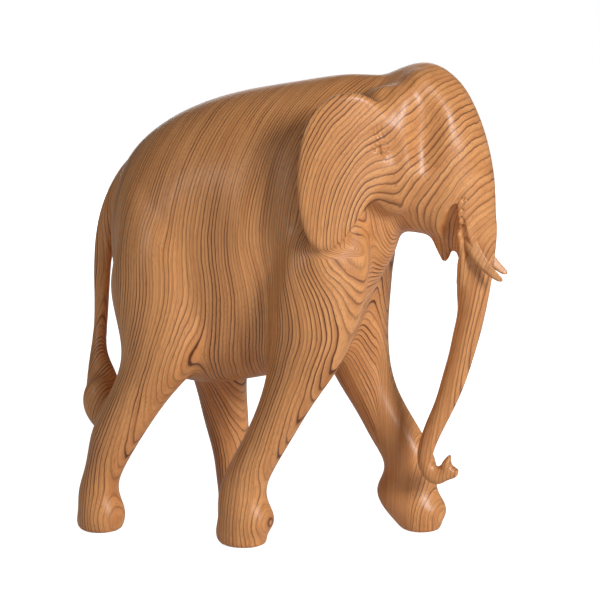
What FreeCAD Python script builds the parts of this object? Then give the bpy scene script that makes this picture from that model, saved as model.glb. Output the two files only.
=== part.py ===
"""Carved wooden elephant, walking, with its head turned a little to its left.

The animal is one carving. Each tusk is a piece of its own: a turned tenon on its root is glued into a
socket bored in the face. Millimetres, +Z up, +X the way the elephant walks, -Y its right side. The
origin is on the surface that the soles stand on, under the middle of the whole.
"""

import FreeCAD, Part
import math
import os
import sys

from FreeCAD import Placement, Rotation, Vector

doc = FreeCAD.newDocument("CarvedElephant")
sheet = doc.addObject("Spreadsheet::Sheet", "Sizes")
next_row = 1


def put(alias, value):
    """Writes one driving dimension into the next row of the sheet, under its alias."""
    global next_row
    sheet.set(f"A{next_row}", alias)
    sheet.set(f"B{next_row}", str(value))
    sheet.setAlias(f"B{next_row}", alias)
    next_row += 1


def get(alias):
    return float(sheet.get(alias))


# ---------------------------------------------------------------- driving dimensions
SINGLE_SIZES = {
    "shift_x": 4.5,  # moves the whole carving so that its bounding box is centred on the origin
    "shift_y": 2.2,
    "head_turn": 8.0,  # degrees, about a vertical axis through the neck
    "neck_x": 30.0,
    "ear_bend": 90.0,  # radius of the upright cylinder that each ear's outer face is part of
    "ear_thickness": 6.0,
    "ear_bend_x": 6.4,  # the cylinder's axis
    "ear_bend_y": 25.5,  # and how far it is beyond the midline
    "lip_x": 90.0,  # middle of the lower lip's root, inside the head
    "lip_z": 207.0,
    "lip_lean": 8.0,
    "lip_length": 30.0,
    "lip_root_radius": 10.0,
    "lip_tip_radius": 2.0,
    "sheath_length": 16.0,  # fleshy collar that each tusk comes out of
    "sheath_root_radius": 9.0,
    "sheath_end_radius": 5.4,
    "seat_radius": 4.7,
    "seat_length": 32.0,
    "socket_radius": 3.1,
    "tenon_radius": 3.0,
    "socket_depth": 14.0,
    "tenon_length": 13.0,
    "overlap": 1.0,  # how far pieces that are joined run into each other
    "tusk_root_x": 109.5,
    "tusk_root_y": 14.5,
    "tusk_root_z": 196.0,
    "tusk_pitch": 58.0,  # degrees that the tusk points below the horizontal at its root
}

# The torso is lofted through upright sections. Each row: x, top z, bottom z, half width high on the
# flank, half width low on the flank.
TORSO = [
    (-121, 204, 168, 11, 9),
    (-118, 221, 146, 24, 18),
    (-112, 236, 128, 35, 26),
    (-102, 249, 111, 44, 34),
    (-88, 260, 100, 50, 40),
    (-62, 273, 94, 54, 45),
    (-30, 282.2, 99, 55, 48),
    (0, 287.5, 106, 53.5, 46),
    (25, 291.5, 115, 49, 39.5),
    (37, 292.5, 130, 43, 32),
    (46, 292.5, 150, 38, 27),
    (57, 292, 172, 33, 24),
    (65.5, 290, 197, 28, 21),
]
TORSO_FIELDS = ("x", "top", "low", "wide_high", "wide_low")

# Every limb is lofted through ellipses. Each row: x and z of the foremost point, x and z of the
# rearmost point, y of the middle, half width.
LIMB_FIELDS = ("front_x", "front_z", "back_x", "back_z", "mid_y", "wide")
LIMBS = {
    "hind_right_leg": [
        (-60, 235, -92, 235, -22, 14),
        (-46, 200, -108, 200, -27, 23),
        (-42, 170, -111.5, 170, -30, 25),
        (-46, 140, -109, 140, -31, 24),
        (-56, 110, -105.5, 110, -33, 22),
        (-73, 90, -113.5, 90, -34.5, 19.5),
        (-90, 66, -125, 66, -36, 16),
        (-103, 45, -130, 45, -36, 13),
        (-109, 32, -134, 32, -36, 12.4),
        (-107.5, 18, -136, 18, -36, 14.6),
        (-105.5, 8, -137, 8, -36, 15.4),
        (-107.5, 0, -135, 0, -36, 13.8),
    ],
    "hind_left_leg": [
        (-50, 225, -80, 225, 22, 14),
        (-30, 190, -97, 190, 28, 23),
        (-33, 150, -100, 150, 30, 24.5),
        (-43, 115, -95, 115, 31, 22),
        (-48.5, 86, -83, 86, 33, 17.5),
        (-47.5, 60, -77, 60, 34, 14.5),
        (-45.5, 38, -71, 38, 34, 13),
        (-42.5, 28, -69.5, 28, 34, 13.4),
        (-41, 14, -67.5, 14, 34, 14.8),
        (-40, 6, -67.5, 6, 34, 15),
        (-41.5, 0, -66, 0, 34, 13.4),
    ],
    "front_right_leg": [
        (40, 240, 16, 240, -24, 9),
        (50, 215, 4, 215, -28, 15.5),
        (57, 188, 0, 188, -32, 18),
        (55.5, 160, -2.5, 160, -34, 20),
        (48, 135, -3.5, 135, -35, 20),
        (37, 113, -5.5, 113, -36, 18.5),
        (24, 94, -10.5, 94, -36.5, 16.5),
        (12, 74, -19, 74, -37, 14.5),
        (0, 54, -30, 54, -36, 13.6),
        (-8, 36, -38, 36, -35, 13.4),
        (-5.5, 24, -39.5, 24, -34.5, 15),
        (-4.5, 12, -40.5, 12, -34, 16),
        (-7, 0, -38.5, 0, -34, 14.4),
    ],
    "front_left_leg": [
        (40, 240, 16, 240, 24, 9),
        (54, 215, 4, 215, 28, 15.5),
        (54, 185, 2, 185, 32, 18.5),
        (50, 150, 0, 150, 33.5, 20.5),
        (49, 125, 2, 125, 34, 20),
        (50, 109, 8, 109, 35, 18),
        (54, 92, 17, 92, 36, 16.5),
        (63, 75, 28, 75, 36.5, 15.5),
        (74, 58, 38, 58, 36.5, 15),
        (81.5, 42, 47, 42, 36.5, 14.5),
        (82, 32, 45.5, 33, 36, 14.6),
        (84.5, 22, 42.5, 24, 35.5, 16),
        (88.5, 10, 48.5, 12, 35, 16.4),
        (86.5, 0, 60, 0, 35, 13),
    ],
    "tail": [
        (-104, 222, -110, 240, 0, 9),
        (-112, 210, -126, 222, 0, 7.5),
        (-121, 192, -137, 196, 0, 6.4),
        (-128, 170, -140.5, 171, 0, 5.6),
        (-129.5, 145, -140, 145, -2, 5.0),
        (-130, 122, -140, 122, -5, 4.8),
        (-127.5, 110, -140.5, 109, -9, 5.2),
        (-120, 98, -140.5, 97, -13, 6.6),
        (-117, 87, -140, 85, -16, 8.2),
        (-116, 77, -139, 75, -18, 8.4),
        (-120, 69, -135.5, 66, -19, 6.4),
        (-122, 64, -128.5, 61.5, -20, 3),
    ],
}
HEAD_LIMBS = {
    "head_and_trunk": [
        (30, 270, 36, 215, 0, 20),
        (46, 289, 52, 198, 0, 33),
        (62, 295, 63, 197, 0, 35.5),
        (79, 300, 69.5, 197, 0, 35),
        (95.5, 294, 75, 196.5, 0, 34),
        (107.5, 280, 80, 196, 0, 31),
        (116, 261, 85, 195, 0, 27.5),
        (122.5, 235, 90, 193, 0, 22.5),
        (124.5, 209, 95.5, 189.5, 0, 17),
        (125, 188, 101, 184, 0, 11.8),
        (123, 169, 102, 169, 0, 10.4),
        (121, 156, 101.5, 156, 0, 9.8),
        (118.5, 143, 101, 143, 0, 9),
        (115.5, 130, 98.5, 131, 0, 8.2),
        (112, 117, 96, 119, 0, 7.5),
        (108, 104, 92.5, 106, 0, 7.1),
        (103, 91, 89, 93, 0, 6.7),
        (97, 78, 84, 80, 0, 6.2),
        (91.5, 66, 79.5, 67, 0, 5.7),
        (88, 55, 77.5, 54, 0, 5.2),
        (88.6, 49.5, 81, 43, 0, 5.0),
        (91, 48.5, 87.5, 37.5, 0, 5.0),
        (94.5, 50.5, 94.5, 38.2, 0, 5.0),
        (97, 53, 100, 41.5, 0, 4.8),
        (99.5, 58, 104.5, 46.5, 0, 4.6),
    ],
}
# The ear's outline in side view: x, z, once round.
EAR_OUTLINE = [
    (17, 262), (14, 243), (14, 221), (17, 206), (26, 193), (36, 195), (44, 202), (52, 214),
    (62, 230), (66, 250), (62, 274), (50, 284), (38, 284), (26, 277),
]
# The tusk, from its root: distance along its root direction, rise from it, half thickness.
TUSK = [
    (0.05, 0, 4.4), (8, 0.2, 4.3), (16, 0.8, 3.7), (24, 2.0, 2.9), (30, 3.2, 2.1), (33, 4.0, 1.2),
]

FACE_START, TRUNK_START = 5, 8  # rings of the head at which one loft hands over to the next
SIDES = (-1, 1)  # the animal's right, then its left
SECTION_POINTS = 12
LOFT_DEGREE = 3
EAR_PRISM_LENGTH = 90
EAR_BEND_HEIGHT = 350

for alias, value in SINGLE_SIZES.items():
    put(alias, value)
for i, row in enumerate(TORSO):
    for field, value in zip(TORSO_FIELDS, row):
        put(f"torso_{i}_{field}", value)
for limb, rows in {**LIMBS, **HEAD_LIMBS}.items():
    for i, row in enumerate(rows):
        for field, value in zip(LIMB_FIELDS, row):
            put(f"{limb}_{i}_{field}", value)
doc.recompute()


# ---------------------------------------------------------------- building blocks
def add(kind, name):
    thing = doc.addObject(kind, name)
    thing.Label = name
    return thing


def bind(thing, **expressions):
    """Ties sizes of an object to the sheet."""
    for name, expression in expressions.items():
        thing.setExpression(name.replace("_", "."), expression)


def closed_section(name, point_at):
    """A closed smooth curve through the points that point_at gives for equal steps of one turn."""
    points = [point_at(2 * math.pi * i / SECTION_POINTS) for i in range(SECTION_POINTS)]
    curve = Part.BSplineCurve()
    curve.interpolate(Points=points, PeriodicFlag=True)
    section = add("Part::Feature", name)
    section.Shape = Part.Wire([curve.toShape()])
    return section


def loft(name, sections):
    solid = add("Part::Loft", name)
    solid.Sections = sections
    solid.Solid = True
    solid.Ruled = False
    solid.MaxDegree = LOFT_DEGREE
    return solid


def torso_section(i):
    """An upright egg, its width easing from the flank's to the belly's."""
    x, top, low, high_wide, low_wide = (get(f"torso_{i}_{field}") for field in TORSO_FIELDS)

    def point_at(turn):
        rise = math.cos(turn)
        wide = low_wide + (high_wide - low_wide) * (1 + rise) / 2
        return Vector(x, wide * math.sin(turn), (top + low) / 2 + (top - low) / 2 * rise)

    return closed_section(f"torso_section_{i}", point_at)


def limb_section(limb, i):
    """An ellipse with one axis across the animal, the other from its rearmost to its foremost point."""
    size = {field: get(f"{limb}_{i}_{field}") for field in LIMB_FIELDS}
    front = Vector(size["front_x"], size["mid_y"], size["front_z"])
    back = Vector(size["back_x"], size["mid_y"], size["back_z"])
    across = Vector(0, size["wide"], 0)

    def point_at(turn):
        return (front + back) / 2 + (front - back) / 2 * math.cos(turn) + across * math.sin(turn)

    return closed_section(f"{limb}_section_{i}", point_at)


def fuse(name, shapes):
    whole = add("Part::MultiFuse", name)
    whole.Shapes = shapes
    return whole


def common(name, first, second):
    both = add("Part::MultiCommon", name)
    both.Shapes = [first, second]
    return both


def cut(name, base, tool):
    rest = add("Part::Cut", name)
    rest.Base, rest.Tool = base, tool
    return rest


def ear(side):
    """A curved plate: the ear's outline, extruded across the animal, kept where an upright tube is."""
    name = "right_ear" if side < 0 else "left_ear"
    outline = Part.BSplineCurve()
    points = [Vector(x, 0, z) for x, z in EAR_OUTLINE]
    outline.interpolate(Points=points, PeriodicFlag=True)
    face = add("Part::Feature", f"{name}_outline")
    face.Shape = Part.Face(Part.Wire([outline.toShape()]))
    prism = add("Part::Extrusion", f"{name}_prism")
    prism.Base = face
    prism.DirMode = "Custom"
    prism.Dir = Vector(0, side, 0)
    prism.LengthFwd = EAR_PRISM_LENGTH
    prism.Solid = True
    tubes = []
    for label, radius in (("outer", "Sizes.ear_bend"), ("inner", "Sizes.ear_bend - Sizes.ear_thickness")):
        tube = add("Part::Cylinder", f"{name}_{label}_bend")
        tube.Height = EAR_BEND_HEIGHT
        bind(
            tube,
            Radius=radius,
            Placement_Base_x="Sizes.ear_bend_x",
            Placement_Base_y=f"{-side} * Sizes.ear_bend_y",
        )
        tubes.append(tube)
    return common(name, prism, cut(f"{name}_shell", tubes[0], tubes[1]))


def tusk_frame(side):
    """Where a tusk leaves the face: local +X runs out along its root, local +Z is its upper ridge."""
    root = Vector(get("tusk_root_x"), side * get("tusk_root_y"), get("tusk_root_z"))
    return Placement(root, Rotation(Vector(0, 1, 0), get("tusk_pitch")))


def tusk(side):
    """A tapered horn, curving up a little, with a round tenon on its root."""
    name = "right_tusk" if side < 0 else "left_tusk"
    sections = []
    for i, (along, rise, half) in enumerate(TUSK):
        def point_at(turn, along=along, rise=rise, half=half):
            return Vector(along, half * math.sin(turn), rise + half * math.cos(turn))

        sections.append(closed_section(f"{name}_section_{i}", point_at))
    horn = loft(f"{name}_horn", sections)
    tenon = add("Part::Cylinder", f"{name}_tenon")
    tenon.Placement = Placement(Vector(), Rotation(Vector(0, 1, 0), 90))
    bind(
        tenon,
        Radius="Sizes.tenon_radius",
        Height="Sizes.tenon_length + 3 * Sizes.overlap",
        Placement_Base_x="-Sizes.tenon_length",
    )
    return fuse(name, [horn, tenon])


# ---------------------------------------------------------------- the animal
def body():
    """Everything behind the neck."""
    pieces = [loft("torso", [torso_section(i) for i in range(len(TORSO))])]
    for limb, rows in LIMBS.items():
        pieces.append(loft(limb, [limb_section(limb, i) for i in range(len(rows))]))
    return pieces


def head_turn():
    """Turns the head to the animal's left about an upright axis through the neck."""
    neck = Vector(get("neck_x"), 0, 0)
    turn = Rotation(Vector(0, 0, 1), get("head_turn"))
    return Placement(neck, turn).multiply(Placement(-neck, Rotation()))


def head():
    """The head, built looking straight ahead and then turned."""
    rings = [limb_section("head_and_trunk", i) for i in range(len(HEAD_LIMBS["head_and_trunk"]))]
    core = fuse(
        "head_core",
        [
            loft("skull", rings[: FACE_START + 1]),
            loft("face", rings[FACE_START : TRUNK_START + 1]),
            loft("trunk", rings[TRUNK_START:]),
        ],
    )
    lip = add("Part::Cone", "lower_lip")
    lip.Placement = Placement(
        Vector(get("lip_x"), 0, get("lip_z")), Rotation(Vector(0, 1, 0), 180 - get("lip_lean"))
    )
    bind(lip, Radius1="Sizes.lip_root_radius", Radius2="Sizes.lip_tip_radius", Height="Sizes.lip_length")
    whole = fuse("head", [fuse("head_with_lip", [core, lip]), ear(-1), ear(1)])
    whole.Placement = head_turn()
    return whole


def tusk_tool(name, side, kind, start, length, **radii):
    """A round tool on a tusk's axis, running from start mm along it for the length given."""
    tool = add(kind, f"{name}_{'right' if side < 0 else 'left'}")
    along = Placement(Vector(start, 0, 0), Rotation(Vector(0, 1, 0), 90))
    tool.Placement = head_turn().multiply(tusk_frame(side)).multiply(along)
    bind(tool, Height=length, **radii)
    return tool


def figure():
    """The carving in one piece, with a flat seat and a blind round socket for each tusk."""
    sheaths = [
        tusk_tool(
            "sheath",
            side,
            "Part::Cone",
            -get("sheath_length"),
            "Sizes.sheath_length + Sizes.overlap",
            Radius1="Sizes.sheath_root_radius",
            Radius2="Sizes.sheath_end_radius",
        )
        for side in SIDES
    ]
    carving = fuse("carving", [fuse("body", body()), fuse("head_with_sheaths", [head()] + sheaths)])
    tools = []
    for side in SIDES:
        tools.append(
            tusk_tool(
                "socket",
                side,
                "Part::Cylinder",
                -get("socket_depth"),
                "Sizes.socket_depth + Sizes.overlap",
                Radius="Sizes.socket_radius",
            )
        )
        tools.append(
            tusk_tool("seat", side, "Part::Cylinder", 0, "Sizes.seat_length", Radius="Sizes.seat_radius")
        )
    return cut("carved_body", carving, fuse("bores", tools))


# ---------------------------------------------------------------- assembly and files
centre = Placement(Vector(get("shift_x"), get("shift_y"), 0), Rotation())
carved_body = figure()
carved_body.Placement = centre
subparts = [carved_body]
for side in SIDES:
    piece = tusk(side)
    piece.Placement = centre.multiply(head_turn()).multiply(tusk_frame(side))
    subparts.append(piece)
doc.recompute()

for thing in doc.Objects:
    if "Invalid" in thing.State or "Error" in thing.State:
        sys.exit(f"{thing.Label} failed: {thing.State}")
os.makedirs("parts", exist_ok=True)
for piece in subparts:
    if piece.Shape.isNull() or not piece.Shape.isValid():
        sys.exit(f"{piece.Label} has no valid shape")
    piece.Shape.exportStep(f"parts/{piece.Label}.step")
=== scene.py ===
"""Carved wooden elephant: the visual model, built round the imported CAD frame.

The carving's CAD node gives the masses. Here they are worked the way a carver works one block: the joins
are filled to soft hollows, forms are added and cut with smooth tools in a distance grid, and then the
surface is meshed and its fine lines are cut. Lengths are millimetres of a drawing of the object, which MM
scales to the frame. x runs the way the elephant walks, y to its left and z up.
"""
import math

import bmesh
import bpy
import numpy as np
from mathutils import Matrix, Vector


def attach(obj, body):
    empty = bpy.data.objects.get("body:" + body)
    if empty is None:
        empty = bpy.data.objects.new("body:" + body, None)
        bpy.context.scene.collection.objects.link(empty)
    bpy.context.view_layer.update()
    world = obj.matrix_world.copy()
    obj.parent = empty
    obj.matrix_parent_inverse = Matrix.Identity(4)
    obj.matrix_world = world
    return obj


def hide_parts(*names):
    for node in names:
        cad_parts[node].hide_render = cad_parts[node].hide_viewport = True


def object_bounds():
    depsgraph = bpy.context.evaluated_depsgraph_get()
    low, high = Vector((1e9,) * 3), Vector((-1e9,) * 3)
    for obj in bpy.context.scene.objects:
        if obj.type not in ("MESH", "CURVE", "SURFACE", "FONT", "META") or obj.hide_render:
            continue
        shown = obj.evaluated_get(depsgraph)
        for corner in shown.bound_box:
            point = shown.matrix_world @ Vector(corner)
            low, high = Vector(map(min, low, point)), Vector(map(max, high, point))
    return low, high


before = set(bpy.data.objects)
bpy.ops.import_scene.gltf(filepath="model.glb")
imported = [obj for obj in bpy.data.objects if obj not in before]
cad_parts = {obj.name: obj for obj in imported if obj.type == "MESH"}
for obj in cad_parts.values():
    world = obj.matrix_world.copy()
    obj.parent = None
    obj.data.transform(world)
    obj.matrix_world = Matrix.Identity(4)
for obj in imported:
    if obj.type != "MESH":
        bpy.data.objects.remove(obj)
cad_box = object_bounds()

import openvdb
from mathutils import Vector

DRAWN_HEIGHT = 300.03  # of the whole object, in the drawing
MM = (cad_box[1][2] - cad_box[0][2]) / DRAWN_HEIGHT  # one drawn millimetre in scene metres
VOXEL = 1.25
GRID_MARGIN = 16.0  # empty space kept round the object
MESH_STEP = 2.0  # spacing of the first mesh laid on the sculpted surface
TINY = 1e-6  # keeps divisions away from nought


# ---------------------------------------------------------------- small helpers
def ease(value, start, end):
    """0 before start, 1 after end, smooth between; start may be the larger of the two."""
    t = np.clip((value - start) / (end - start), 0.0, 1.0)
    return t * t * (3.0 - 2.0 * t)


def smooth_min(a, b, radius):
    """The union of two distances, with the join filled over about the radius."""
    t = np.clip(0.5 + 0.5 * (b - a) / radius, 0.0, 1.0)
    return b + (a - b) * t - radius * t * (1.0 - t)


def mesh_arrays(node):
    """Points in millimetres and triangles of a CAD node."""
    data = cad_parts[node].data
    points = np.empty(len(data.vertices) * 3, dtype=np.float32)
    data.vertices.foreach_get("co", points)
    data.calc_loop_triangles()
    triangles = np.empty(len(data.loop_triangles) * 3, dtype=np.int32)
    data.loop_triangles.foreach_get("vertices", triangles)
    return points.reshape(-1, 3) / MM, triangles.reshape(-1, 3).astype(np.uint32)


# ---------------------------------------------------------------- distance grid
class Grid:
    """A dense signed distance to a surface, negative inside, on a regular grid of voxels."""

    BAND = 12.0  # distances are true this far from the surface
    FILL_ROOM = 4.0  # and this far past a fill's radius while filling
    BELL_REACH = 2.5  # a smoothing bell ends this many sigmas out
    LEAST_STEEP = 0.25  # squared slope taken where the field is flatter, so that no step runs away

    def __init__(self, points, faces, voxel, margin=GRID_MARGIN):
        self.voxel = voxel
        self.low = np.floor((points.min(axis=0) - margin) / voxel).astype(int)
        self.high = np.ceil((points.max(axis=0) + margin) / voxel).astype(int)
        self.field = self.distance(points, faces)

    def distance(self, points, faces, band=BAND):
        kind = "quads" if faces.shape[1] == 4 else "triangles"
        made = openvdb.FloatGrid.createLevelSetFromPolygons(
            points.astype(np.float32),
            transform=openvdb.createLinearTransform(voxelSize=self.voxel),
            halfWidth=band / self.voxel,
            **{kind: faces},
        )
        out = np.empty(tuple(self.high - self.low + 1), dtype=np.float32)
        made.copyToArray(out, ijk=tuple(int(v) for v in self.low))
        return out

    def surface(self, field, level=0.0):
        """Points and quads of the surface where the field has the given level."""
        grid = openvdb.FloatGrid(float(field.max()))
        grid.transform = openvdb.createLinearTransform(voxelSize=self.voxel)
        low = tuple(int(v) for v in self.low)
        grid.copyFromArray(np.ascontiguousarray(field, dtype=np.float32), ijk=low)
        return grid.convertToQuads(isovalue=level)

    def filled(self, radius):
        """The field with every hollow tighter than the radius filled to it."""
        grown = self.distance(*self.surface(self.field, radius), band=radius + self.FILL_ROOM)
        return self.distance(*self.surface(grown, -radius))

    def blur(self, field, sigma):
        """The field smoothed with a bell of sigma millimetres."""
        reach = max(1, int(math.ceil(self.BELL_REACH * sigma / self.voxel)))
        steps = np.arange(-reach, reach + 1)
        bell = np.exp(-0.5 * (steps * self.voxel / sigma) ** 2)
        bell /= bell.sum()
        for axis in range(3):
            padded = np.pad(field, [(reach, reach) if a == axis else (0, 0) for a in range(3)], "edge")
            total = np.zeros_like(field)
            for k, weight in enumerate(bell):
                window = [slice(None)] * 3
                window[axis] = slice(k, k + field.shape[axis])
                total += np.float32(weight) * padded[tuple(window)]
            field = total
        return field

    def block(self, low, high):
        """Slices and sparse coordinates of the part of the grid between two corners."""
        first = np.maximum(np.floor(np.array(low) / self.voxel).astype(int), self.low)
        last = np.minimum(np.ceil(np.array(high) / self.voxel).astype(int), self.high)
        slices = tuple(slice(int(a - o), int(b - o) + 1) for a, b, o in zip(first, last, self.low))
        x, y, z = (
            np.arange(a, b + 1, dtype=np.float32) * np.float32(self.voxel) for a, b in zip(first, last)
        )
        return slices, x[:, None, None], y[None, :, None], z[None, None, :]

    def sample(self, points):
        """The field at any points, and its gradient."""
        at = points / self.voxel - self.low
        at = np.clip(at, 0.0, np.array(self.field.shape) - 1.001)
        cell = np.floor(at).astype(int)
        f = at - cell
        corners = {}
        for i in (0, 1):
            for j in (0, 1):
                for k in (0, 1):
                    corners[i, j, k] = self.field[cell[:, 0] + i, cell[:, 1] + j, cell[:, 2] + k]
        fx, fy, fz = f.T
        value = np.zeros(len(points))
        gradient = np.zeros((len(points), 3))
        for (i, j, k), v in corners.items():
            wx = fx if i else 1 - fx
            wy = fy if j else 1 - fy
            wz = fz if k else 1 - fz
            value += v * wx * wy * wz
            gradient[:, 0] += v * (1 if i else -1) * wy * wz
            gradient[:, 1] += v * (1 if j else -1) * wx * wz
            gradient[:, 2] += v * (1 if k else -1) * wx * wy
        return value, gradient / self.voxel

    def project(self, points, rounds=3):
        """Moves points onto the surface along the gradient."""
        points = points.astype(float)
        for _ in range(rounds):
            value, gradient = self.sample(points)
            steep = np.maximum((gradient ** 2).sum(axis=1), self.LEAST_STEEP)
            points = points - gradient * (value / steep)[:, None]
        return points


# ---------------------------------------------------------------- the head's own frame
NECK = Vector((34.5, 2.2, 0.0))  # on the upright axis that the head is turned about
HEAD_TURN = math.radians(8.0)
COS, SIN = math.cos(HEAD_TURN), math.sin(HEAD_TURN)


def to_head(x, y, z):
    """The object's frame to the head looking straight ahead: y is then the distance left of its midline."""
    dx, dy = x - NECK.x, y - NECK.y
    return NECK.x + COS * dx + SIN * dy, COS * dy - SIN * dx, z


def from_head(x, y, z):
    """The head's frame back to the object's."""
    dx = x - NECK.x
    return NECK.x + COS * dx - SIN * y, NECK.y + SIN * dx + COS * y, z


def to_body(x, y, z):
    """The object's frame to one whose y starts at the body's midline."""
    return x, y - NECK.y, z


def from_body(x, y, z):
    return x, y + NECK.y, z


# ---------------------------------------------------------------- sculpting tools
def ellipsoid(x, y, z, centre, radii):
    """About the distance to an ellipsoid."""
    parts = [(v - c) / r for v, c, r in zip((x, y, z), centre, radii)]
    near = np.sqrt(sum(p * p for p in parts)) + TINY
    steep = np.sqrt(sum((p / r) ** 2 for p, r in zip(parts, radii))) + TINY
    return near * (near - 1.0) / steep


def rope(x, y, z, points):
    """Distance to a chain of tapered capsules. Each point: x, y, z, radius."""
    best = None
    for (ax, ay, az, ar), (bx, by, bz, br) in zip(points, points[1:]):
        dx, dy, dz = bx - ax, by - ay, bz - az
        t = ((x - ax) * dx + (y - ay) * dy + (z - az) * dz) / (dx * dx + dy * dy + dz * dz)
        t = np.clip(t, 0.0, 1.0)
        px, py, pz = x - ax - t * dx, y - ay - t * dy, z - az - t * dz
        d = np.sqrt(px * px + py * py + pz * pz) - (ar + t * (br - ar))
        best = d if best is None else np.minimum(best, d)
    return best


def work(grid, frame_of, shape, reach, blend, cut=False):
    """Adds a shape to the carving or cuts it away, softly, inside the box that it can reach."""
    low, high = reach
    slices, x, y, z = grid.block(low, high)
    d = shape(*frame_of(x, y, z)).astype(np.float32)
    old = grid.field[slices]
    grid.field[slices] = -smooth_min(-old, d, blend) if cut else smooth_min(old, d, blend)


def reach_of(points, size, out):
    """A box in the object's frame round points given in another frame."""
    placed = np.array([out(*p[:3]) for p in points])
    return placed.min(axis=0) - size, placed.max(axis=0) + size


HEAD = (to_head, from_head)
BODY = (to_body, from_body)


def blob(grid, place, centre, radii, blend, cut=False, mirror=True):
    """An ellipsoid, on both sides unless it isn't mirrored."""
    into, out = place
    for side in (-1, 1) if mirror else (1,):
        c = (centre[0], side * centre[1], centre[2])
        box = reach_of([c], max(radii) + 2 * blend, out)
        work(grid, into, lambda x, y, z: ellipsoid(x, y, z, c, radii), box, blend, cut)


def ridge(grid, place, points, blend, cut=False, mirror=True):
    """A chain of tapered capsules, on both sides unless it isn't mirrored."""
    into, out = place
    for side in (-1, 1) if mirror else (1,):
        chain = [(x, side * y, z, r) for x, y, z, r in points]
        box = reach_of(chain, max(p[3] for p in chain) + 2 * blend, out)
        work(grid, into, lambda x, y, z: rope(x, y, z, chain), box, blend, cut)


# ---------------------------------------------------------------- sculpting
CRISP_FILL = 3.5  # radius that hollows are filled to where the joins are crisp
WIDE_FILL = 9.0  # and where they are soft
SANDING = 1.6  # smoothing of the whole surface before the mouth is cut
POLISH = 0.8  # and after it


def fill_mask(grid):
    """Where joins are filled widely: the trunk, feet, throat and the back of the ears stay crisp."""
    _, x, y, z = grid.block(grid.low * grid.voxel, grid.high * grid.voxel)
    x, y, z = to_head(x, y, z)
    trunk = np.maximum(ease(x, 68, 76) * ease(z, 196, 186), ease(x, 86, 94) * ease(z, 214, 204))
    behind_ears = ease(np.abs(y), 28, 34) * ease(x, 60, 52) * ease(x, -5, 5) * ease(z, 180, 190)
    throat = ease(x, 60, 68) * ease(z, 226, 216)
    feet = ease(z, 60, 40)
    return (1 - trunk) * (1 - behind_ears) * (1 - throat) * (1 - feet)


def tail_mask(grid):
    """Where nothing is filled, so that the slit between the tail and the thigh stays open."""
    _, x, _, z = grid.block(grid.low * grid.voxel, grid.high * grid.voxel)
    return np.broadcast_to(ease(x, -97, -105) * ease(z, 220, 210) * ease(z, 70, 80), grid.field.shape)


def shape_head(grid):
    blob(grid, HEAD, (68, 28, 250), (26, 14, 38), 8)  # temple and cheek, level with the ear
    ridge(grid, HEAD, [(84, 18, 287, 8), (97, 17, 268, 8), (104, 14, 248, 8)], 8)  # brow
    ridge(grid, HEAD, [(104, 14, 248, 8), (110, 12, 222, 7), (111, 10, 205, 7)], 8)
    blob(grid, HEAD, (91, 38, 262), (9, 10, 26), 9, cut=True)  # hollow between brow and temple
    blob(grid, HEAD, (75, 50, 250), (8, 9, 11), 5, cut=True)  # hollow in front of the eye
    ridge(grid, HEAD, [(67, 38, 283, 2.6), (68, 30, 291, 2.6), (67, 20, 299, 2.4)], 5, cut=True)
    ridge(grid, HEAD, [(69, 44, 280, 2.8), (65, 46, 281, 2.2)], 2, cut=True)  # pocket where the ear starts
    hollow = [(67, 46, 222, 3), (71, 41, 210, 4.5), (73, 36, 198, 5)]
    ridge(grid, HEAD, hollow, 4, cut=True)  # behind the jaw, under the ear
    blob(grid, HEAD, (90, 41, 210), (12, 8, 20), 8, cut=True)  # under the cheek


def shape_mouth(grid):
    sheath = [(105, 17, 216, 3.5), (107, 16.5, 206, 4), (108.5, 15, 196, 4), (110.5, 11, 183, 3.5)]
    ridge(grid, HEAD, sheath + [(110, 6, 168, 3.5)], 4)
    flesh = [(109, 14, 206, 6), (114, 14.5, 196.5, 5.2), (116, 14.5, 191.5, 3.4)]
    ridge(grid, HEAD, flesh, 3)  # over the tusk's root
    mouth = [(106.5, 21, 217, 2), (104, 18.5, 207, 4.5), (102.8, 14, 197, 6), (102.8, 11.5, 186, 5.5)]
    ridge(grid, HEAD, mouth, 3, cut=True)
    lower_lip = [(95, 0, 204, 8), (97.5, 0, 190, 4.6), (98.6, 0, 181.5, 2.2)]
    ridge(grid, HEAD, lower_lip, 2, mirror=False)
    for x, z, radius in ((104, 187.2, 1.3), (103.8, 183.5, 2.3), (103.4, 179, 3.4)):
        notch = [(x, -9, z, radius), (x, 9, z, radius)]
        ridge(grid, HEAD, notch, 1, cut=True, mirror=False)  # between the lip and the trunk
    valley = [(110.8, 20, 207, 1.6), (112, 19, 199, 1.8), (114, 16.5, 190, 2.0), (115.5, 12, 178, 2.0)]
    ridge(grid, HEAD, valley, 1.5, cut=True)  # between the tusk and its sheath


def shape_trunk_tip(grid):
    ridge(grid, HEAD, [(107.8, -8, 53.2, 4.4), (107.8, 8, 53.2, 4.4)], 1, cut=True, mirror=False)
    for finger in ([(100.5, 50.5, 3.0), (104, 59, 0.9)], [(102, 44.6, 3.0), (109.4, 47, 0.9)]):
        ridge(grid, HEAD, [(x, 2, z, radius) for x, z, radius in finger], 1)


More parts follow.
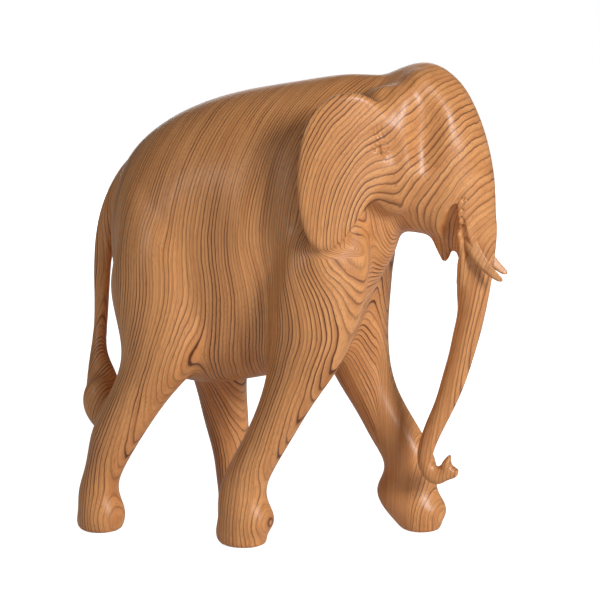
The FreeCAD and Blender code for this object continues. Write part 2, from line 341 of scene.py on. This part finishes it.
def shape_body(grid):
    blob(grid, BODY, (-42, 78, 205), (30, 26, 50), 14, cut=True)  # flank before the hip
    blob(grid, BODY, (38, 40, 184), (12, 15, 15), 12)  # point of the shoulder
    blob(grid, BODY, (25, 43, 158), (22, 15, 42), 10)  # upper arm
    behind = [(10, 60, 262, 10), (4, 58.5, 200, 10), (-2, 57.5, 150, 8), (-3, 58, 128, 7)]
    ridge(grid, BODY, behind, 10, cut=True)  # valley between the arm and the ribs
    blob(grid, BODY, (-123, -22, 81), (11.5, 9.5, 16), 2, mirror=False)  # ball of the tail's tuft
    crease = [(-111, -30, 99, 1.5), (-113, -33, 88, 2.5), (-118, -33, 76, 2.5), (-123, -32, 66, 2)]
    ridge(grid, BODY, crease, 2, cut=True, mirror=False)  # between the tuft and the thigh


def sculpt():
    """The distance grid of the finished carving, without its fine lines."""
    grid = Grid(*mesh_arrays("carved_body"), VOXEL)
    mask, tail = fill_mask(grid), tail_mask(grid)
    filled = grid.filled(CRISP_FILL) * (1 - mask) + grid.filled(WIDE_FILL) * mask
    grid.field = grid.field * tail + filled * (1 - tail)
    shape_head(grid)
    shape_body(grid)
    grid.field = grid.blur(grid.field, SANDING)
    shape_mouth(grid)
    shape_trunk_tip(grid)
    grid.field = grid.blur(grid.field, POLISH)
    return grid


# ---------------------------------------------------------------- meshing
def lay_mesh(grid):
    """Quads of even size on the sculpted surface."""
    coarse = Grid(*grid.surface(grid.field), MESH_STEP, margin=4 * MESH_STEP)
    laid, faces = coarse.surface(coarse.field)
    return grid.project(laid), faces


def make_object(name, points, faces):
    """An object from points in millimetres and faces."""
    data = bpy.data.meshes.new(name)
    data.from_pydata([tuple(p) for p in points * MM], [], [list(map(int, f)) for f in faces])
    data.validate()
    data.polygons.foreach_set("use_smooth", [True] * len(data.polygons))
    thing = bpy.data.objects.new(name, data)
    bpy.context.scene.collection.objects.link(thing)
    return thing


def relax(points, faces, grid, rounds=4):
    """Evens the quads out, keeping them on the surface."""
    edges = np.concatenate([faces[:, [i, (i + 1) % 4]] for i in range(4)]).astype(int)
    ends = np.concatenate([edges, edges[:, ::-1]])
    count = np.bincount(ends[:, 0], minlength=len(points))[:, None]
    for _ in range(rounds):
        total = np.zeros_like(points)
        for axis in range(3):
            total[:, axis] = np.bincount(ends[:, 0], points[ends[:, 1], axis], minlength=len(points))
        points = grid.project(0.5 * points + 0.5 * total / count, rounds=1)
    return grid.project(points)


# ---------------------------------------------------------------- fine lines
# Knife lines of one side: depth as a share of LINE_DEPTH, then x and z in the head's frame.
EYE_LINES = [
    (0.9, [(65, 253.2), (65.1, 249.2), (67.4, 245.4)]),
    (0.8, [(68.2, 254.7), (68.4, 250.2), (67.7, 245.6)]),
    (0.7, [(60, 254.0), (62.8, 252.2), (64.8, 253.2)]),
    (0.7, [(59.2, 252.6), (60.5, 250.6), (62.4, 250.8)]),
    (0.5, [(61.6, 256.7), (64.2, 254.6)]),
    (0.4, [(68.6, 253.6), (71.2, 254.0)]),
    (0.6, [(68.6, 250.4), (72.8, 250.6)]),
    (0.5, [(68.4, 248.0), (71, 247.5)]),
    (0.5, [(60.5, 263.4), (61.2, 258.2), (62.2, 256.2)]),
    (0.5, [(62.4, 264.2), (62.8, 260.2), (64, 257.2)]),
    (0.4, [(65.2, 265.5), (65.6, 260.5)]),
    (0.4, [(64.8, 259.0), (67.6, 260.0)]),
]
EYE_SIDE = 46.0  # about the y of the surface round the eye
TRUNK_LINES = [
    (0.8, [(107.4, 223.6), (110.5, 224.2), (112.9, 221.8)]),
    (0.8, [(109.5, 220.2), (111.6, 219.6)]),
    (0.9, [(110.3, 216.2), (113.5, 214.8)]),
    (1.0, [(109.8, 212.8), (113.6, 211.6)]),
    (0.9, [(110.0, 209.2), (113.0, 208.2)]),
    (0.9, [(109.8, 205), (112.2, 204.6)]),
]
TRUNK_FACE = 128.0  # x + y on the surface beside the trunk's root, which faces half forward
LINE_DEPTH = 1.2
LINE_HALF = 0.85  # half width
LINE_REACH = 2.5  # lines change nothing further away than this
LINE_SPACING = 0.3  # of the points that a line is cut along
LINE_TAPER = 1.2  # length over which a line deepens from its ends
LINE_END = 0.25  # share of the depth at an end
LINE_CUTS = 4  # new points on each edge of the first mesh
LINE_ROOM = (2, 9, 2)  # fine mesh kept round the lines along x, y and z
TUSK_ZONE = ((102, 7, 182), (121, 23, 212))  # fine mesh round the tusk's root
EYE_BALL = (66.8, 249.8)  # x and z in the head's frame
EYE_RADII = (2.1, 4.8)
EYE_HEIGHT = 1.6
EYE_FULLNESS = 0.8  # below 1 the eye is rounder at its rim
EYE_FROM = 30.0  # eyes are further than this from the head's midline


def knife_lines():
    """Depth and points of each line on the left side, in the head's frame."""
    round_eye = [(depth, [(x, EYE_SIDE, z) for x, z in line]) for depth, line in EYE_LINES]
    by_trunk = [(depth, [(x, TRUNK_FACE - x, z) for x, z in line]) for depth, line in TRUNK_LINES]
    return round_eye, by_trunk


def chain_points(points, spacing=LINE_SPACING):
    """Close points along a chain."""
    out = []
    for a, b in zip(points, points[1:]):
        a, b = np.array(a, dtype=float), np.array(b, dtype=float)
        count = max(2, int(np.linalg.norm(b - a) / spacing))
        out.extend(a + (b - a) * i / count for i in range(count))
    out.append(np.array(points[-1], dtype=float))
    return np.array(out)


def line_zones():
    """Boxes in the head's frame, low and high corners, that the fine lines need a fine mesh in."""
    zones = [TUSK_ZONE]
    for lines in knife_lines():
        every = np.array([p for _, line in lines for p in line])
        zones.append((every.min(axis=0) - LINE_ROOM, every.max(axis=0) + LINE_ROOM))
    return zones


def in_zones(points):
    """Which points lie in a zone, on either side."""
    x, y, z = to_head(*points.T)
    inside = np.zeros(len(points), dtype=bool)
    for low, high in line_zones():
        fits = (x > low[0]) & (x < high[0]) & (z > low[2]) & (z < high[2])
        inside |= fits & (np.abs(y) > low[1]) & (np.abs(y) < high[1])
    return inside


def refine(data, grid):
    """Divides the mesh where fine lines are cut, and gives its points laid on the surface."""
    shape = bmesh.new()
    shape.from_mesh(data)
    shape.faces.ensure_lookup_table()
    middles = np.array([f.calc_center_median() for f in shape.faces]) / MM
    fine = [shape.faces[i] for i in np.nonzero(in_zones(middles))[0]]
    edges = list({e for f in fine for e in f.edges})
    bmesh.ops.subdivide_edges(shape, edges=edges, cuts=LINE_CUTS, use_grid_fill=True)
    wide = [f for f in shape.faces if len(f.verts) > 4]
    bmesh.ops.triangulate(shape, faces=wide)
    shape.to_mesh(data)
    shape.free()
    points = np.empty(len(data.vertices) * 3)
    data.vertices.foreach_get("co", points)
    return grid.project(points.reshape(-1, 3) / MM)


def engrave(points, grid):
    """Cuts the knife lines and raises the eyes."""
    _, gradient = grid.sample(points)
    outward = gradient / np.maximum(np.linalg.norm(gradient, axis=1), TINY)[:, None]
    lift = np.zeros(len(points))
    near = np.nonzero(in_zones(points))[0]
    x, y, z = to_head(*points[near].T)
    ball = 1 - ((x - EYE_BALL[0]) / EYE_RADII[0]) ** 2 - ((z - EYE_BALL[1]) / EYE_RADII[1]) ** 2
    lift[near] += EYE_HEIGHT * np.clip(ball, 0, 1) ** EYE_FULLNESS * (np.abs(y) > EYE_FROM)
    round_eye, by_trunk = knife_lines()
    for side in (-1, 1):
        for depth, line in round_eye + by_trunk:
            chain = chain_points(line) * (1, side, 1)
            chain = grid.project(np.array([from_head(*p) for p in chain]))
            order = np.arange(len(chain))
            from_end = np.minimum(order, order[::-1]) * LINE_SPACING
            strength = LINE_END + (1 - LINE_END) * ease(from_end, 0, LINE_TAPER)
            gap = np.linalg.norm(points[near][:, None, :] - chain[None, :, :], axis=2)
            closest = gap.argmin(axis=1)
            away = gap.min(axis=1)
            cut = LINE_DEPTH * depth * strength[closest] * np.exp(-((away / LINE_HALF) ** 2))
            lift[near] -= np.where(away < LINE_REACH, cut, 0)
    return points + outward * lift[:, None]


# ---------------------------------------------------------------- tusks
TUSK_ROOT = (114.0, 14.5, 196.0)  # head's frame
TUSK_PITCH = math.radians(51.0)
TUSK_LENGTH = 33.3
TUSK_SAG = 0.30  # slope by which the tusk starts out below the line from its root to its tip
# distance from the root, half height
TUSK_HALF = [(-1, 4.0), (6, 4.3), (12, 4.0), (18, 3.5), (24, 2.9), (29, 2.3), (32, 1.7), (33.3, 0.5)]
TUSK_TIP = (30.0, 30.5)  # the rings end here along the shaft, and begin again, closer, for the tip
TUSK_RINGS = (26, 9)  # along the shaft and the tip
TUSK_LEAN = 0.18  # the ridge leans out
# one half of the cross-section, for a half height of 1: a narrow ridge, flat flanks, a round belly
TUSK_SECTION = [
    (0.0, 1.0), (0.12, 0.98), (0.17, 0.91), (0.32, 0.62), (0.48, 0.28), (0.64, -0.06), (0.73, -0.30),
    (0.72, -0.52), (0.60, -0.75), (0.38, -0.92), (0.15, -0.99),
]


def tusk_mesh(side):
    """Rings of points along a tusk with a sharp upper ridge, and the faces between them."""
    shaft = np.linspace(TUSK_HALF[0][0], TUSK_TIP[0], TUSK_RINGS[0])
    tip = np.linspace(TUSK_TIP[1], TUSK_LENGTH, TUSK_RINGS[1])
    along_at = np.concatenate([shaft, tip])
    half_at = np.interp(along_at, *np.array(TUSK_HALF).T)
    section = TUSK_SECTION + [(-y, z) for y, z in TUSK_SECTION[:0:-1]]
    across, up_at = np.array(section).T
    sides = len(section)
    rings = []
    for along, half in zip(along_at, half_at):
        rise = -TUSK_SAG * along * (1 - along / TUSK_LENGTH)
        up = rise + half * up_at
        out = half * (across + TUSK_LEAN * up_at)
        x = TUSK_ROOT[0] + along * math.cos(TUSK_PITCH) + up * math.sin(TUSK_PITCH)
        z = TUSK_ROOT[2] - along * math.sin(TUSK_PITCH) + up * math.cos(TUSK_PITCH)
        rings.append(np.stack(from_head(x, side * (TUSK_ROOT[1] + out), z), axis=1))
    faces = []
    for i in range(len(rings) - 1):
        for j in range(sides):
            k = (j + 1) % sides
            low, high = i * sides, (i + 1) * sides
            quad = [low + j, low + k, high + k, high + j]
            faces.append(quad if side > 0 else quad[::-1])
    first = list(range(sides))
    last = [v + (len(rings) - 1) * sides for v in first]
    faces.append(first[::-1] if side > 0 else first)
    faces.append(last if side > 0 else last[::-1])
    return np.concatenate(rings), faces


# ---------------------------------------------------------------- materials
def new_material(name):
    material = bpy.data.materials.new(name)
    material.use_nodes = True
    return material, material.node_tree.nodes["Principled BSDF"]


class Graph:
    """Short ways to write a node tree."""

    def __init__(self, owner):
        self.nodes = owner.node_tree.nodes
        self.links = owner.node_tree.links

    def put(self, kind, inputs=None, **settings):
        node = self.nodes.new(kind)
        for name, value in settings.items():
            setattr(node, name, value)
        for name, value in (inputs or {}).items():
            socket = node.inputs[name]
            if isinstance(value, bpy.types.NodeSocket):
                self.links.new(value, socket)
            else:
                socket.default_value = value
        return node

    def math(self, operation, *values):
        """One arithmetic step. Each value is a number or another node's output."""
        node = self.nodes.new("ShaderNodeMath")
        node.operation = operation
        for i, value in enumerate(values):
            if isinstance(value, bpy.types.NodeSocket):
                self.links.new(value, node.inputs[i])
            else:
                node.inputs[i].default_value = value
        return node.outputs[0]

    def noise(self, vector, frequency, detail=2.0, roughness=0.5):
        """Noise with its own frequency along x, y and z, per metre."""
        node = self.put("ShaderNodeVectorMath", {0: vector}, operation="MULTIPLY")
        node.inputs[1].default_value = frequency
        inputs = {"Vector": node.outputs[0], "Scale": 1.0, "Detail": detail, "Roughness": roughness}
        return self.put("ShaderNodeTexNoise", inputs).outputs["Fac"]

    def reach(self, place, direction, start=0.0):
        """How far a place lies along a direction, counted from a start value."""
        node = self.put("ShaderNodeVectorMath", {0: place}, operation="DOT_PRODUCT")
        node.inputs[1].default_value = direction
        return self.math("ADD", node.outputs["Value"], start)

    def length(self, a, b):
        return self.math("POWER", self.math("MULTIPLY_ADD", a, a, self.math("MULTIPLY", b, b)), 0.5)

    def share(self, value, start, end):
        """0 before start, 1 after end, smooth between; start may be the larger of the two."""
        inputs = {"Value": value, "From Min": start, "From Max": end}
        return self.put("ShaderNodeMapRange", inputs, interpolation_type="SMOOTHSTEP").outputs[0]

    def between(self, part, a, b):
        """a where part is 0, b where it is 1."""
        return self.put("ShaderNodeMix", {0: part, 2: a, 3: b}, data_type="FLOAT").outputs[0]

    def past(self, value):
        """Nought up to 0, then growing, softly at first, as the value does."""
        value = self.math("MAXIMUM", value, 0.0)
        root = self.math("POWER", self.math("MULTIPLY_ADD", value, value, GRAIN_BEND ** 2), 0.5)
        return self.math("SUBTRACT", root, GRAIN_BEND)

    def steps(self, value, *stops):
        """A value remapped through stops of (position, result)."""
        node = self.put("ShaderNodeValToRGB", {"Fac": value})
        elements = node.color_ramp.elements
        while len(elements) < len(stops):
            elements.new(0.5)
        for element, (position, result) in zip(elements, stops):
            element.position = position
            element.color = (result, result, result, 1.0)
        return node.outputs["Color"]

    def mix(self, part, a, b):
        """Colour a where part is 0, colour b where it is 1."""
        node = self.nodes.new("ShaderNodeMix")
        node.data_type = "RGBA"
        for socket, value in ((node.inputs[0], part), (node.inputs[6], a), (node.inputs[7], b)):
            if isinstance(value, bpy.types.NodeSocket):
                self.links.new(value, socket)
            elif isinstance(value, tuple):
                socket.default_value = (*value, 1.0)
            else:
                socket.default_value = value
        return node.outputs[2]


# ---------------------------------------------------------------- the wood's figure
RING_PITCH = 2.1 * MM
FIRST_RING = 200.0  # keeps every ring's number above nought
GRAIN_BEND = 24.5 * MM  # distance over which the figure turns into the legs and over the back
# How quickly the distance across the rings grows along x, y and z, in each region, and its start value.
BODY_GRAIN = ((0.90, -0.50, 0.0), -8 * MM)
HEAD_GRAIN = ((0.46, -0.14, -0.35), 126.5 * MM)
TRUNK_GRAIN = ((0.95, -0.30, -0.175), 36 * MM)
EAR_CENTRE = (78 * MM, 197 * MM)  # x in the head's frame and z that the ear's rings curve round
EAR_GRAIN = (1.05, 0.60, 115 * MM)  # growth towards that centre, share of it along z, start value
LEG_TOP = 175 * MM
FOOT_TOP = 60 * MM
LEG_LEAN = 0.39  # growth down a leg, opposite on the two sides; it ends in the foot
LEG_SIDES = 12 * MM  # as far either side of the middle, one side's lean passes into the other's
BACK_FROM = 190 * MM
BACK_LEAN = -0.20  # growth up over the back
ACROSS_LEGS, ACROSS_HIND, ACROSS_FORE = 0.27, 0.15, -0.15  # growth along y added to the body's
BARREL_Z = (130 * MM, 200 * MM)  # heights where the legs' share passes into the barrel's
BARREL_X = (-30 * MM, 30 * MM)  # where the barrel's hind part passes into its fore part
HEAD_FROM = (52 * MM, 78 * MM)  # x in the head's frame
TRUNK_FROM = (222 * MM, 172 * MM)  # z
EAR_AXIS = (10.9 * MM, -25.5 * MM)  # x and y, in the head's frame, that the left ear's plate curves about
EAR_FROM = (77.5 * MM, 81.5 * MM)  # distance from that axis where the plate starts
EAR_ABOVE = (186 * MM, 193 * MM)  # z of the ear's lower edge
EAR_AHEAD_OF = (11 * MM, 16 * MM)  # x in the head's frame of its rear edge
# Noise frequencies along x, y and z, per metre, and how far the noise moves the rings.
SLOW_WANDER = ((16, 16, 5), 9 * MM)
QUICK_WANDER = ((95, 95, 42), 1.6 * MM)
FADING = (40, 40, 14)
PATCHES = (22, 22, 9)
# The same in the grain's own directions: across the rings, y and along them.
PORES = (1500, 1500, 130)
FIBRES = (2400, 2400, 60)
STREAKS = (420, 60, 10)
GRAIN_PACKING = 1.6  # the fine grain is this much closer across the rings
FACE_FIBRE = (0.6, 0.0, 0.8)  # the way the fibre runs in the face
FACE_STRENGTH = 0.65  # of the late wood's lines in the head, beside the body's
# Each ring, from its start to its end, darkens slowly to its late wood, which ends in a thin line.
RING_STOPS = ((0.0, 0.10), (0.07, 0.0), (0.45, 0.06), (0.70, 0.24), (0.85, 1.0), (0.94, 0.9), (1.0, 0.10))
RING_DEPTHS = ((0.0, 0.30), (0.40, 0.55), (0.70, 1.0), (1.0, 1.0))  # some rings are fainter
LATE_WOOD = (0.125, 0.032, 0.008)
PORE_BROWN = (0.16, 0.065, 0.028)
WARM = (0.78, 0.68, 0.60)  # the streaks' colour, as shares of the tan
PALE = (1.10, 1.16, 1.22)  # the same for the paler patches
PORE_SHADE = 0.45  # how far the pores darken the wood
ROUGHNESS = 0.35
FIBRE_ROUGHNESS, PORE_ROUGHNESS = 0.16, 0.2  # added to it
FIBRE_RELIEF, LATE_RELIEF, PORE_RELIEF = 0.25, 0.25, -0.6  # shares of the grain's height
GRAIN_RELIEF = 0.3 * MM  # that height
GRAIN_BUMP = 0.25  # how much of it shows through the wax
WAX, WAX_ROUGHNESS = 0.25, 0.28
WOOD_SHINE = 0.4


def turned_with_head(vector):
    """A direction in the head's frame, given in the object's."""
    x, y, z = vector
    return COS * x - SIN * y, SIN * x + COS * y, z


def head_place(g, place):
    """x of a place in the head's frame, and its distance from the head's midline."""
    neck_x, neck_y = NECK.x * MM, NECK.y * MM
    x = g.reach(place, (COS, SIN, 0), neck_x - COS * neck_x - SIN * neck_y)
    y = g.reach(place, (-SIN, COS, 0), SIN * neck_x - COS * neck_y)
    return x, g.math("ABSOLUTE", y)


def body_figure(g, place, x, y, z):
    """Distance across the rings in the body and legs."""
    down_leg = g.past(g.math("SUBTRACT", LEG_TOP, z))
    down_foot = g.past(g.math("SUBTRACT", FOOT_TOP, z))
    lean = g.between(g.share(y, -LEG_SIDES, LEG_SIDES), LEG_LEAN, -LEG_LEAN)
    in_barrel = g.between(g.share(x, *BARREL_X), ACROSS_HIND, ACROSS_FORE)
    sideways = g.between(g.share(z, *BARREL_Z), ACROSS_LEGS, in_barrel)
    across = g.reach(place, *BODY_GRAIN)
    across = g.math("MULTIPLY_ADD", g.math("SUBTRACT", down_leg, down_foot), lean, across)
    across = g.math("MULTIPLY_ADD", y, sideways, across)
    return g.math("MULTIPLY_ADD", g.past(g.math("SUBTRACT", z, BACK_FROM)), BACK_LEAN, across)


def ear_figure(g, head_x, z):
    """Distance across the rings in the ears, where they curve round a point under the jaw."""
    growth, flattening, start = EAR_GRAIN
    ahead = g.math("SUBTRACT", head_x, EAR_CENTRE[0])
    above = g.math("MULTIPLY", g.math("SUBTRACT", z, EAR_CENTRE[1]), flattening)
    return g.math("MULTIPLY_ADD", g.length(ahead, above), -growth, start)


def ear_region(g, head_x, head_y, z):
    """1 in the ears' curved plates."""
    ahead = g.math("SUBTRACT", head_x, EAR_AXIS[0])
    out = g.math("SUBTRACT", head_y, EAR_AXIS[1])
    region = g.math("MULTIPLY", g.share(g.length(ahead, out), *EAR_FROM), g.share(z, *EAR_ABOVE))
    return g.math("MULTIPLY", region, g.share(head_x, *EAR_AHEAD_OF))


def ring_figure(g, place):
    """Distance across the rings, 1 in the head and trunk, and 1 in the head alone.

    The block is one, but its figure swings from region to region.
    """
    x, y, z = g.put("ShaderNodeSeparateXYZ", {0: place}).outputs
    head_x, head_y = head_place(g, place)
    in_head = g.share(head_x, *HEAD_FROM)
    in_trunk = g.share(z, *TRUNK_FROM)
    in_ear = ear_region(g, head_x, head_y, z)
    body = g.between(in_ear, body_figure(g, place, x, y, z), ear_figure(g, head_x, z))
    head, trunk = (g.reach(place, turned_with_head(way), start) for way, start in (HEAD_GRAIN, TRUNK_GRAIN))
    across = g.between(in_head, body, g.between(in_trunk, head, trunk))
    across = g.math("MULTIPLY_ADD", g.noise(place, SLOW_WANDER[0], detail=1.0), SLOW_WANDER[1], across)
    across = g.math("MULTIPLY_ADD", g.noise(place, QUICK_WANDER[0]), QUICK_WANDER[1], across)
    return across, in_head, g.math("MULTIPLY", in_head, g.math("SUBTRACT", 1.0, in_trunk))


def late_wood(g, place, across, strength):
    """How dark the late wood is at a place, and how far the place is through its ring."""
    rings = g.math("ADD", g.math("DIVIDE", across, RING_PITCH), FIRST_RING)
    through = g.math("FRACT", rings)
    number = g.math("FLOOR", rings)
    chance = g.put("ShaderNodeTexWhiteNoise", {"W": number}, noise_dimensions="1D").outputs["Value"]
    dark = g.math("MULTIPLY", g.steps(through, *RING_STOPS), g.steps(chance, *RING_DEPTHS))
    fade = g.steps(g.noise(place, FADING), (0.35, 0.45), (0.6, 1.0))
    return g.math("MULTIPLY", dark, g.math("MULTIPLY", fade, strength)), through


def wood_pores(g, grain, through):
    """Short dark dashes that run with the rings, thickest at the start of a ring."""
    pores = g.steps(g.noise(grain, PORES, detail=1.0, roughness=0.4), (0.58, 0.0), (0.68, 1.0))
    return g.math("MULTIPLY", pores, g.steps(through, (0.0, 1.0), (0.5, 0.5), (1.0, 0.7)))


def wood_colour(g, place, grain, tan, fibre, late, pores):
    """The tan with paler patches and warm streaks, then the rings and the pores."""
    warm = tuple(c * k for c, k in zip(tan, WARM))
    pale = tuple(c * k for c, k in zip(tan, PALE))
    colour = g.mix(g.steps(g.noise(place, PATCHES), (0.3, 0.0), (0.7, 1.0)), pale, tan)
    colour = g.mix(g.steps(fibre, (0.25, 0.0), (0.75, 0.45)), colour, warm)
    colour = g.mix(g.steps(g.noise(grain, STREAKS), (0.40, 0.0), (0.64, 0.80)), colour, warm)
    colour = g.mix(late, colour, LATE_WOOD)
    return g.mix(g.math("MULTIPLY", pores, PORE_SHADE), colour, PORE_BROWN)


def wax(g, shader, fibre, late, pores):
    """A satin finish, duller in the pores, with the grain just felt through it."""
    rough = g.math("MULTIPLY_ADD", fibre, FIBRE_ROUGHNESS, ROUGHNESS)
    rough = g.math("MULTIPLY_ADD", pores, PORE_ROUGHNESS, rough)
    g.links.new(rough, shader.inputs["Roughness"])
    height = g.math("MULTIPLY_ADD", pores, PORE_RELIEF, g.math("MULTIPLY", fibre, FIBRE_RELIEF))
    height = g.math("MULTIPLY_ADD", late, LATE_RELIEF, height)
    bump = g.put("ShaderNodeBump", {"Height": height, "Strength": GRAIN_BUMP, "Distance": GRAIN_RELIEF})
    g.links.new(bump.outputs["Normal"], shader.inputs["Normal"])
    shader.inputs["Specular IOR Level"].default_value = WOOD_SHINE
    shader.inputs["Coat Weight"].default_value = WAX
    shader.inputs["Coat Roughness"].default_value = WAX_ROUGHNESS


def wood_material(name, tan, strength):
    """Solid ringed wood: the rings run through the whole block."""
    material, shader = new_material(name)
    g = Graph(material)
    place = g.put("ShaderNodeTexCoord").outputs["Object"]
    _, y, z = g.put("ShaderNodeSeparateXYZ", {0: place}).outputs
    across, in_head, in_face = ring_figure(g, place)
    late, through = late_wood(g, place, across, g.between(in_head, strength, FACE_STRENGTH * strength))
    along = g.between(in_face, z, g.reach(place, turned_with_head(FACE_FIBRE)))
    packed = g.math("MULTIPLY", across, GRAIN_PACKING)
    grain = g.put("ShaderNodeCombineXYZ", {"X": packed, "Y": y, "Z": along}).outputs[0]
    fibre = g.noise(grain, FIBRES)
    pores = wood_pores(g, grain, through)
    colour = wood_colour(g, place, grain, tan, fibre, late, pores)
    g.links.new(colour, shader.inputs["Base Color"])
    wax(g, shader, fibre, late, pores)
    return material


# ---------------------------------------------------------------- light and camera
WORLD_LIGHT = 0.16
FLOOR_GLOW = 0.90  # seen by the camera only, so that the floor is as white as the backdrop
FLOOR_HALF = 6.0  # metres
AIM = (0, 0, 0.15)  # metres, the middle of the object
# name, place in metres, width and height in metres, watts
LAMPS = [
    ("key", (1.65, -0.85, 0.95), 0.6, 30),
    ("fill", (-0.9, -1.4, 0.7), 0.6, 3.2),
    ("far_side", (-0.7, 1.7, 0.6), 1.2, 8.0),
]
CAMERA_AIM = Vector((0.0045, 0.0077, 0.150))
CAMERA_AWAY = 1.150  # level distance from what it aims at
CAMERA_HEIGHT = 0.348
CAMERA_YAW = math.radians(20.0)  # from square to the right side towards the front
LENS, SENSOR = 111.1, 36.0  # millimetres


def area_light(name, place, size, power):
    data = bpy.data.lights.new(name, "AREA")
    data.shape = "RECTANGLE"
    data.size = data.size_y = size
    data.energy = power
    lamp = bpy.data.objects.new(name, data)
    lamp.location = place
    lamp.rotation_euler = (Vector(AIM) - Vector(place)).to_track_quat("-Z", "Y").to_euler()
    bpy.context.scene.collection.objects.link(lamp)


def light_scene():
    """A white backdrop that lights the object only weakly, and soft lamps."""
    world = bpy.data.worlds.new("studio")
    world.use_nodes = True
    g = Graph(world)
    back = world.node_tree.nodes["Background"]
    back.inputs["Color"].default_value = (1, 1, 1, 1)
    seen = g.put("ShaderNodeLightPath").outputs["Is Camera Ray"]
    g.links.new(g.math("MULTIPLY_ADD", seen, 1.0 - WORLD_LIGHT, WORLD_LIGHT), back.inputs["Strength"])
    bpy.context.scene.world = world
    bpy.context.scene.view_settings.view_transform = "Standard"
    for lamp in LAMPS:
        area_light(*lamp)


def add_floor():
    data = bpy.data.meshes.new("floor")
    corners = [(x * FLOOR_HALF, y * FLOOR_HALF, 0) for x, y in ((-1, -1), (1, -1), (1, 1), (-1, 1))]
    data.from_pydata(corners, [], [(0, 1, 2, 3)])
    floor = bpy.data.objects.new("floor", data)
    bpy.context.scene.collection.objects.link(floor)
    material, shader = new_material("floor_white")
    shader.inputs["Base Color"].default_value = (0.8, 0.8, 0.8, 1)
    shader.inputs["Roughness"].default_value = 0.9
    shader.inputs["Emission Color"].default_value = (1, 1, 1, 1)
    g = Graph(material)
    seen = g.put("ShaderNodeLightPath").outputs["Is Camera Ray"]
    g.links.new(g.math("MULTIPLY", seen, FLOOR_GLOW), shader.inputs["Emission Strength"])
    data.materials.append(material)


def add_camera():
    data = bpy.data.cameras.new("camera")
    data.lens = LENS
    data.sensor_width = SENSOR
    camera = bpy.data.objects.new("camera", data)
    level = Vector((math.sin(CAMERA_YAW), -math.cos(CAMERA_YAW), 0)) * CAMERA_AWAY
    camera.location = (CAMERA_AIM.x + level.x, CAMERA_AIM.y + level.y, CAMERA_HEIGHT)
    camera.rotation_euler = (CAMERA_AIM - camera.location).to_track_quat("-Z", "Y").to_euler()
    bpy.context.scene.collection.objects.link(camera)
    bpy.context.scene.camera = camera


# ---------------------------------------------------------------- the object
BODY_TAN = (0.76, 0.345, 0.122)
BODY_LINES = 1.35  # strength of the late wood's lines
TUSK_TAN = (0.70, 0.335, 0.13)
TUSK_LINES = 0.8


def build_carving():
    grid = sculpt()
    points, faces = lay_mesh(grid)
    points = relax(points, faces, grid)
    carving = make_object("carving", points, faces)
    points = engrave(refine(carving.data, grid), grid)
    carving.data.vertices.foreach_set("co", (points * MM).ravel())
    carving.data.polygons.foreach_set("use_smooth", [True] * len(carving.data.polygons))
    carving.data.update()
    carving.data.materials.append(wood_material("carving_wood", BODY_TAN, BODY_LINES))
    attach(carving, "root")
    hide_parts("carved_body")


def build_tusks():
    wood = wood_material("tusk_wood_look", TUSK_TAN, TUSK_LINES)
    for side, node in ((-1, "right_tusk"), (1, "left_tusk")):
        horn = make_object(f"{node}_horn", *tusk_mesh(side))
        horn.data.materials.append(wood)
        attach(horn, "root")
        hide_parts(node)


build_carving()
build_tusks()
light_scene()
add_floor()
add_camera()
